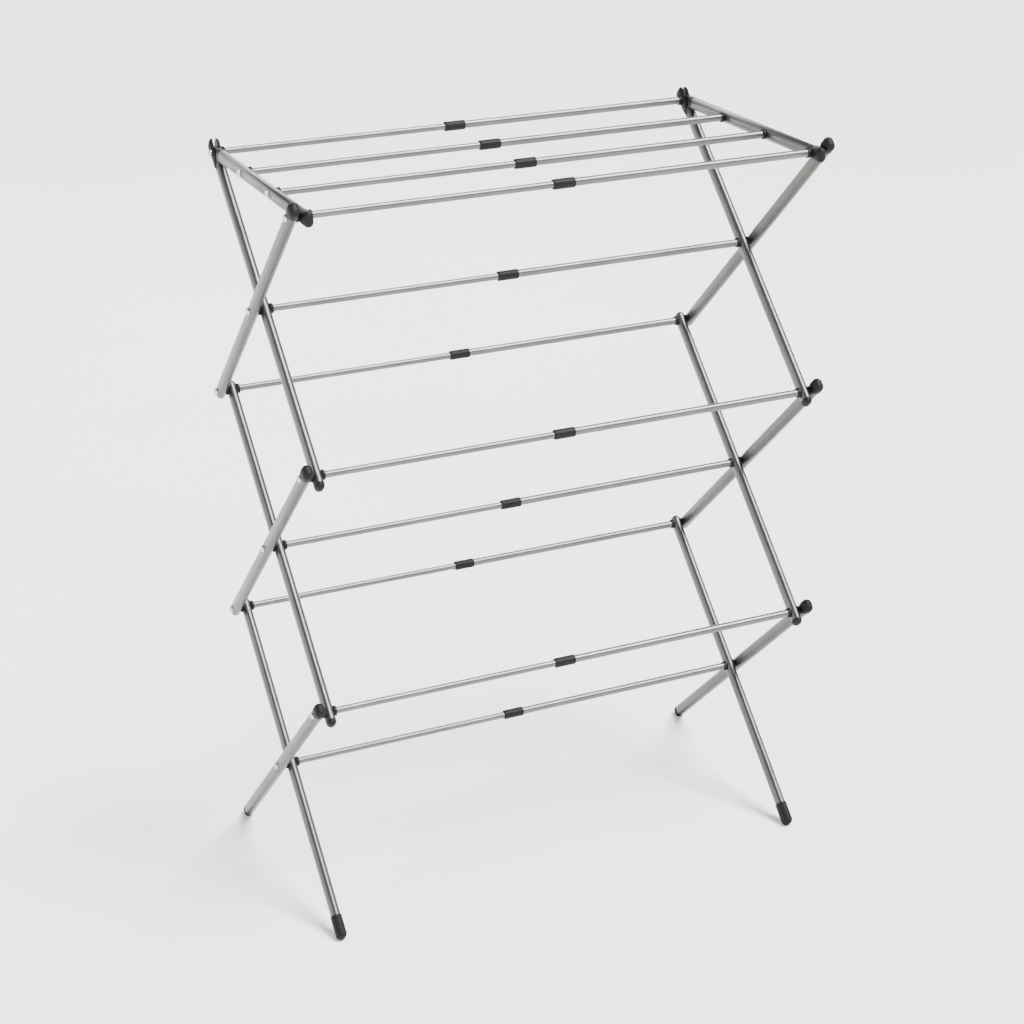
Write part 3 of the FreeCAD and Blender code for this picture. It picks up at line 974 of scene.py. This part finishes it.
@dataclass
class RodFittings:
    """The moulded flanges, spacers and collars of one CAD node.

    Attributes:
        node: The CAD node.
        body: Its body.
        side: The end frame.
        axes: A point on each rod's axis.
        tree: The seating tree.
        flange_edge: Rounding of a flange's back rim.
        thin_edge: Rounding of the other rims.
        collar_edge: Rounding of a collar's ends.
        collar_steps: Steps round that.
    """

    node: str
    body: str
    side: Side
    axes: Sequence[Vector]
    tree: bpy.types.NodeTree
    flange_edge: float = 0.8 * MM
    thin_edge: float = 0.25 * MM
    collar_edge: float = 1.0 * MM
    collar_steps: int = 6

    def build(self) -> None:
        """Makes the flanges, and the spacers and collars where the node has them."""
        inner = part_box(f"lower_inner_leg_{self.side.word}")
        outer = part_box(f"lower_outer_leg_{self.side.word}")
        layer_start, layer_end = span([abs(inner[0].x), abs(inner[1].x)])
        next_layer = min(abs(outer[0].x), abs(outer[1].x))
        self._flanges(layer_start, layer_end)
        self._spacers(layer_end, next_layer)
        if self.side is Side.RIGHT:
            self._collars()

    def _add(self, word: str, template: bmesh.types.BMesh, seats: list[Vector]) -> None:
        """Seats copies of a template and dresses them as one piece."""
        material = MOULDED_NYLON.material()
        mesh = seated(template, self.tree, seats, self.side, material)
        dressed(f"{self.node}.{word}", mesh, material, self.body, [self.node])

    def _flanges(self, layer_start: float, layer_end: float) -> None:
        """Makes the flanged plugs, and the bush of the rod that carries the deck's hooks."""
        ends = [rims_about(self.node, axis, self.side, MIDDLE_REACH, layer_start) for axis in self.axes]
        reads = [stem_and_head(rims) for rims in ends]
        start, stem, back, face, radius = reads[0]
        profile = [(start - face, stem), (back - face, stem)]
        profile += rounded(back - face, radius, self.flange_edge, -1)
        profile += rounded(0.0, radius, self.thin_edge, 1)
        if self.node.startswith("front_rod"):
            bush = rims_about(self.node, self.axes[0], self.side, layer_start, layer_end + HAIR)
            reach = max(rim.out for rim in bush) - face
            bush_radius = max(rim.radius for rim in bush)
            profile += [(0.0, bush_radius), (reach, bush_radius)]
        seats = [seat(axis, self.side, read[3]) for axis, read in zip(self.axes, reads)]
        self._add("flanges", turned(profile), seats)

    def _spacers(self, layer_end: float, next_layer: float) -> None:
        """Makes the rings between the two layers, where there are any."""
        found = {}
        for k, axis in enumerate(self.axes):
            rims = rims_about(self.node, axis, self.side, layer_end + HAIR, next_layer)
            if rims:
                found[k] = rims
        if not found:
            return
        rims = next(iter(found.values()))
        low, high = span([rim.out for rim in rims])
        bore, radius = span([rim.radius for rim in rims])
        profile = [(0.0, bore)] + rounded(0.0, radius, self.thin_edge, -1)
        profile += rounded(high - low, radius, self.thin_edge, 1) + [(high - low, bore)]
        seats = [seat(self.axes[k], self.side, low) for k in found]
        self._add("spacers", turned(profile, pierced=True), seats)

    def _collars(self) -> None:
        """Makes the plain sleeves on the open ends of the outer rods, each with a lip to the inner rod."""
        rims = rims_about(self.node, self.axes[0], self.side, -MIDDLE_REACH, MIDDLE_REACH)
        low, high = span([rim.out for rim in rims])
        lip_bore, radius = span([rim.radius for rim in rims])
        seat_bore = min(rim.radius for rim in rims if rim.out > high - HAIR)
        ledge = min(rim.out for rim in rims if abs(rim.radius - seat_bore) < HAIR)
        profile = [(0.0, lip_bore)] + rounded(0.0, radius, self.collar_edge, -1, self.collar_steps)
        profile += rounded(high - low, radius, self.collar_edge, 1, self.collar_steps)
        profile += [(high - low, seat_bore), (ledge - low, seat_bore), (ledge - low, lip_bore)]
        seats = [seat(axis, self.side, low) for axis in self.axes]
        self._add("collars", turned(profile, pierced=True), seats)


# ---------------------------------------- screws


@dataclass
class Screws:
    """The pan head screws of one body.

    Attributes:
        node: The CAD node.
        body: Its body.
        side: The end frame that they enter from outside.
        axes: A point on each screw's axis.
        tree: The seating tree.
        tip_length: Length of the shank's tapered tip.
        tip_taper: How much thinner the tip ends.
        flat_share: The head's flat top, as a share of its radius.
        crown_share: The head's rounded part, as a share of its height.
        crown_steps: Steps round that.
        recess_reach: From the axis to the end of a slot of the cross recess.
        recess_width: Width of a slot.
        recess_depth: Depth of the recess.
        recess_floor: The recess's size at its floor, as a share of its mouth.
    """

    node: str
    body: str
    side: Side
    axes: Sequence[Vector]
    tree: bpy.types.NodeTree
    tip_length: float = 0.6 * MM
    tip_taper: float = 0.5 * MM
    flat_share: float = 0.68
    crown_share: float = 0.6
    crown_steps: int = 6
    recess_reach: float = 2.4 * MM
    recess_width: float = 0.85 * MM
    recess_depth: float = 1.5 * MM
    recess_floor: float = 0.55

    def build(self) -> None:
        """Makes the screws as one piece and dresses it. The shanks are as long as the shortest one's."""
        ends = [rims_about(self.node, axis, self.side, MIDDLE_REACH, FAR) for axis in self.axes]
        reads = [stem_and_head(rims) for rims in ends]
        shank = min(under - start for start, _, under, _, _ in reads)
        template = self._screw(reads[0], shank)
        seats = [seat(axis, self.side, read[3]) for axis, read in zip(self.axes, reads)]
        material = ZINC_PLATE.material()
        mesh = seated(template, self.tree, seats, self.side, material)
        dressed(f"{self.node}.pan_heads", mesh, material, self.body, [self.node])

    def _screw(self, read: tuple[float, float, float, float, float], shank: float) -> bmesh.types.BMesh:
        """A screw along Z with the top of its head at the origin.

        Args:
            read: What stem_and_head gave for it.
            shank: The shank's length.

        Returns:
            The screw.
        """
        _, stem, under, top, radius = read
        height, flat = top - under, self.flat_share * radius
        tip = -height - shank
        profile = [(tip, stem - self.tip_taper), (tip + self.tip_length, stem)]
        profile += [(-height, stem), (-height, radius)]
        for step in range(self.crown_steps + 1):
            angle = math.pi / 2 * step / self.crown_steps
            drop = self.crown_share * height * (1 - math.sin(angle))
            profile.append((-drop, flat + (radius - flat) * math.cos(angle)))
        skin = turned(profile)
        face = max(skin.faces, key=lambda item: item.calc_center_median().z)
        rim = list(face.edges)
        skin.faces.remove(face)
        upper = [skin.verts.new(point) for point in self._cross(0.0, 1.0)]
        lower = [skin.verts.new(point) for point in self._cross(-self.recess_depth, self.recess_floor)]
        pairs = list(zip(range(len(upper)), list(range(1, len(upper))) + [0]))
        for k, after in pairs:
            skin.faces.new((upper[k], lower[k], lower[after], upper[after]))
        skin.faces.new(lower)
        mouth = [skin.edges.get((upper[k], upper[after])) for k, after in pairs]
        bmesh.ops.triangle_fill(skin, use_beauty=True, edges=rim + mouth, normal=(0, 0, 1))
        bmesh.ops.recalc_face_normals(skin, faces=skin.faces)
        return skin

    def _cross(self, at: float, share: float) -> list[Vector]:
        """The outline of the cross recess at a depth.

        Args:
            at: Along Z.
            share: Its size as a share of the recess's mouth.

        Returns:
            Twelve points.
        """
        reach, half = self.recess_reach * share, self.recess_width / 2 * share
        points = []
        for quarter in range(4):
            turn = Matrix.Rotation(quarter * math.pi / 2, 4, "Z")
            for x, y in ((reach, -half), (reach, half), (half, half)):
                points.append(turn @ Vector((x, y, at)))
        return points


# ---------------------------------------- the rack


@dataclass(frozen=True)
class RodSet:
    """The rods that one body carries at an end frame, with the stem of their nodes' names.

    Attributes:
        stem: The stem of the fittings node's name.
        screws: The stem of the screws node's name.
        body: The body.
        axes: A point on each rod's axis.
    """

    stem: str
    screws: str
    body: str
    axes: tuple[Vector, ...]


@dataclass
class DryingRack:
    """The whole rack, built body by body.

    Attributes:
        places: The rack's places.
        tree: The seating tree.
    """

    places: RackPlaces
    tree: bpy.types.NodeTree

    def build(self) -> None:
        """Makes every piece of the rack."""
        for side in Side:
            Legs(self.places, side).build()
            self._caps_and_feet(side)
            self._deck(side)
            for rods in self._sets(side):
                node = f"{rods.stem}_{side.word}"
                RodFittings(node, rods.body, side, rods.axes, self.tree).build()
                Screws(f"{rods.screws}_{side.word}", rods.body, side, rods.axes, self.tree).build()
        self._rods()

    def _sets(self, side: Side) -> list[RodSet]:
        """The sets of rods that meet one end frame."""
        places, word = self.places, side.word
        low, middle, up = Level.LOWER, Level.MIDDLE, Level.UPPER
        upper = (places.back_pivot(up), places.crossing(up), places.front_pivot(middle))
        centre = (places.back_pivot(middle), places.crossing(middle), places.front_pivot(low))
        back, base = places.back_pivot(low), places.crossing(low)
        sets = [
            RodSet("deck_rod_fittings", "deck_screws", f"deck_{word}", tuple(places.deck_axes())),
            RodSet("front_rod_fittings", "front_rod_screw", f"upper_outer_{word}", (places.front_pivot(up),)),
            RodSet("upper_rod_fittings", "upper_screws", f"upper_inner_{word}", upper),
            RodSet("middle_rod_fittings", "middle_screws", f"middle_inner_{word}", centre),
        ]
        if side is Side.RIGHT:
            sets.append(RodSet("lower_back_rod_fittings", "lower_back_screw", "lower_inner_right", (back,)))
            sets.append(RodSet("base_rod_fittings", "base_screw", "base_rod", (base,)))
        else:
            sets.append(RodSet("lower_rod_fittings", "lower_screws", "lower_inner_left", (back, base)))
        return sets

    def _caps_and_feet(self, side: Side) -> None:
        """Makes the caps, plugs and feet of one end frame."""
        word, nylon, pvc = side.word, MOULDED_NYLON.material(), FOOT_PVC.material()
        shared, half = f"lower_outer_cap_and_foot_{word}", self.places.base_height
        for level in (Level.UPPER, Level.MIDDLE):
            cap = f"{level.word}_outer_cap_{word}"
            SoftenedNode(cap, f"{level.word}_outer_{word}", Slot.PLASTIC, nylon).build()
            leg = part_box(f"{level.word}_inner_leg_{word}")
            plug = SoftenedNode(
                f"{level.word}_rod_fittings_{word}",
                f"{level.word}_inner_{word}",
                Slot.PLASTIC,
                nylon,
                word="end_plug",
                keep=lambda middle, leg=leg: leg[0].x < middle.x < leg[1].x,
            )
            plug.build()
        body = f"lower_outer_{word}"
        SoftenedNode(shared, body, Slot.PLASTIC, nylon, "cap", lambda middle: middle.z > half).build()
        SoftenedNode(shared, body, Slot.PLASTIC, pvc, "foot", lambda middle: middle.z < half).build()
        SoftenedNode(f"lower_inner_foot_{word}", f"lower_inner_{word}", Slot.PLASTIC, pvc).build()

    def _deck(self, side: Side) -> None:
        """Makes the hinge cap, the knuckle and hook, and the rail of one end frame."""
        word, nylon = side.word, MOULDED_NYLON.material()
        rail = POWDER_COAT.material("rail", math.pi / 2)
        SoftenedNode(f"hinge_cap_{word}", f"upper_inner_{word}", Slot.PLASTIC, nylon).build()
        SoftenedNode(f"deck_rail_fittings_{word}", f"deck_{word}", Slot.PLASTIC, nylon).build()
        SoftenedNode(f"deck_rail_{word}", f"deck_{word}", Slot.TUBE, rail, edge=0.2 * MM).build()

    def _rods(self) -> None:
        """Makes the tubes of the rods, the outer ones on the right and the inner ones on the left."""
        places = self.places
        for side, word in ((Side.RIGHT, "outer"), (Side.LEFT, "inner")):
            for rods in self._sets(side)[:SHARED_SETS]:
                stem = rods.stem.removesuffix("_fittings")
                plural = "" if len(rods.axes) == 1 else "s"
                Rods(f"{stem}{plural}_{word}", rods.body, rods.axes, self.tree).build()
        back, base = places.back_pivot(Level.LOWER), places.crossing(Level.LOWER)
        Rods("lower_back_rod_outer", "lower_inner_right", (back,), self.tree).build()
        Rods("base_rod_outer", "base_rod", (base,), self.tree).build()
        Rods("lower_rods_inner", "lower_inner_left", (back, base), self.tree).build()


# ---------------------------------------- the studio


@dataclass(frozen=True)
class SoftBox:
    """A soft light.

    Attributes:
        name: Its name.
        place: Where it hangs, in metres.
        width: Its width.
        depth: Its depth.
        power: In watts.
    """

    name: str
    place: tuple[float, float, float]
    width: float
    depth: float
    power: float

    def build(self, aim: Vector) -> None:
        """Hangs the light and points it at the rack.

        Args:
            aim: The middle of the rack.
        """
        lamp = bpy.data.lights.new(self.name, "AREA")
        lamp.shape = "RECTANGLE"
        lamp.size, lamp.size_y = self.width, self.depth
        lamp.energy = self.power
        light = linked(self.name, lamp)
        light.location = self.place
        light.rotation_euler = (aim - Vector(self.place)).to_track_quat("-Z", "Y").to_euler()


# Narrow lights that put a streak along the tubes from the front, the left and behind.
STRIPS = (
    SoftBox("front strip", (-1.2, -3.4, 1.6), 0.5, 2.4, 60),
    SoftBox("left strip", (-3.2, 0.3, 1.7), 0.6, 2.2, 45),
    SoftBox("back strip", (0.8, 3.2, 2.4), 2.0, 0.6, 55),
)


@dataclass(frozen=True)
class Studio:
    """The pale floor, the soft light and the camera.

    Attributes:
        aim: Where the camera looks, a little below the rack's middle.
        azimuth: Of the camera, in degrees.
        elevation: Of the camera, in degrees.
        roll: Of the camera, in degrees.
        distance: From the aim to the camera.
        lens: In millimetres.
        floor_reach: Half the floor's width.
        overhead: Strength of the broad overhead light.
        overhead_way: The way that it shines.
        overhead_angle: How broad it is, in degrees.
        surround: Strength of the light all round, high up.
        horizon: Its strength near the horizon.
        horizon_rise: Between which rises of a direction it goes from one to the other.
    """

    aim: tuple[float, float, float] = (-0.0102, -0.0056, 0.5093)
    azimuth: float = -23.764
    elevation: float = 23.102
    roll: float = -0.709
    distance: float = 3.0715
    lens: float = 75.9
    floor_reach: float = 30.0
    overhead: float = 10.5
    overhead_way: tuple[float, float, float] = (-0.42, 0.30, -1.0)
    overhead_angle: float = 28.0
    surround: float = 0.4
    horizon: float = 3.4
    horizon_rise: tuple[float, float] = (0.17, 0.30)

    def build(self) -> None:
        """Makes the floor, the lights, the surroundings and the camera."""
        self._floor()
        self._surroundings()
        aim = Vector(self.aim)
        self._overhead()
        for strip in STRIPS:
            strip.build(aim)
        self._camera(aim)

    def _overhead(self) -> None:
        """One broad light from high in front on the right, which lights the whole floor alike."""
        lamp = bpy.data.lights.new("overhead", "SUN")
        lamp.energy = self.overhead
        lamp.angle = math.radians(self.overhead_angle)
        way = Vector(self.overhead_way)
        linked("overhead", lamp).rotation_euler = way.to_track_quat("-Z", "Y").to_euler()

    def _floor(self) -> None:
        """A large pale floor with a faint mottle, which isn't part of the rack."""
        mesh = bpy.data.meshes.new("floor")
        reach = self.floor_reach
        corners = [(-reach, -reach, 0), (reach, -reach, 0), (reach, reach, 0), (-reach, reach, 0)]
        mesh.from_pydata(corners, [], [(0, 1, 2, 3)])
        paper = Finish(
            name="pale seamless paper",
            colour="#f6f6f5",
            second="#f9f9f8",
            metallic=0.0,
            roughness=0.75,
            swing=0.1,
            grain_mm=1.5,
            stretch=1.0,
            relief_mm=0.02,
            drift_mm=900.0,
        )
        mesh.materials.append(paper.material())
        floor = linked("floor", mesh)

    def _surroundings(self) -> None:
        """A light all round, as pale as the floor near the horizon and darker higher up."""
        world = bpy.data.worlds.new("studio")
        world.use_nodes = True
        sky = world.node_tree.nodes["Background"]
        sky.inputs["Color"].default_value = linear("#f1f1f0")
        tree = world.node_tree
        way = add_node(tree, "ShaderNodeTexCoord")
        split = add_node(tree, "ShaderNodeSeparateXYZ", links={"Vector": way.outputs["Generated"]})
        low, high = self.horizon_rise
        strength = add_node(
            tree,
            "ShaderNodeMapRange",
            values={"From Min": low, "From Max": high, "To Min": self.horizon, "To Max": self.surround},
            links={"Value": split.outputs["Z"]},
        )
        tree.links.new(strength.outputs["Result"], sky.inputs["Strength"])
        bpy.context.scene.world = world

    def _camera(self, aim: Vector) -> None:
        """Makes the camera and gives it to the scene."""
        azimuth, elevation = math.radians(self.azimuth), math.radians(self.elevation)
        level = math.cos(elevation)
        back = Vector((math.sin(azimuth) * level, -math.cos(azimuth) * level, math.sin(elevation)))
        lens = bpy.data.cameras.new("camera")
        lens.lens = self.lens
        camera = linked("camera", lens)
        upright = (-back).to_track_quat("-Z", "Y").to_matrix().to_4x4()
        tilt = Matrix.Rotation(math.radians(self.roll), 4, "Z")
        camera.matrix_world = Matrix.Translation(aim + back * self.distance) @ upright @ tilt
        bpy.context.scene.camera = camera


def main() -> None:
    """Builds the rack and its studio."""
    logging.basicConfig(level=logging.INFO, format="%(name)s: %(message)s")
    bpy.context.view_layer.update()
    DryingRack(RackPlaces.from_frame(), seating_tree()).build()
    Studio().build()


if __name__ == "__main__":
    main()
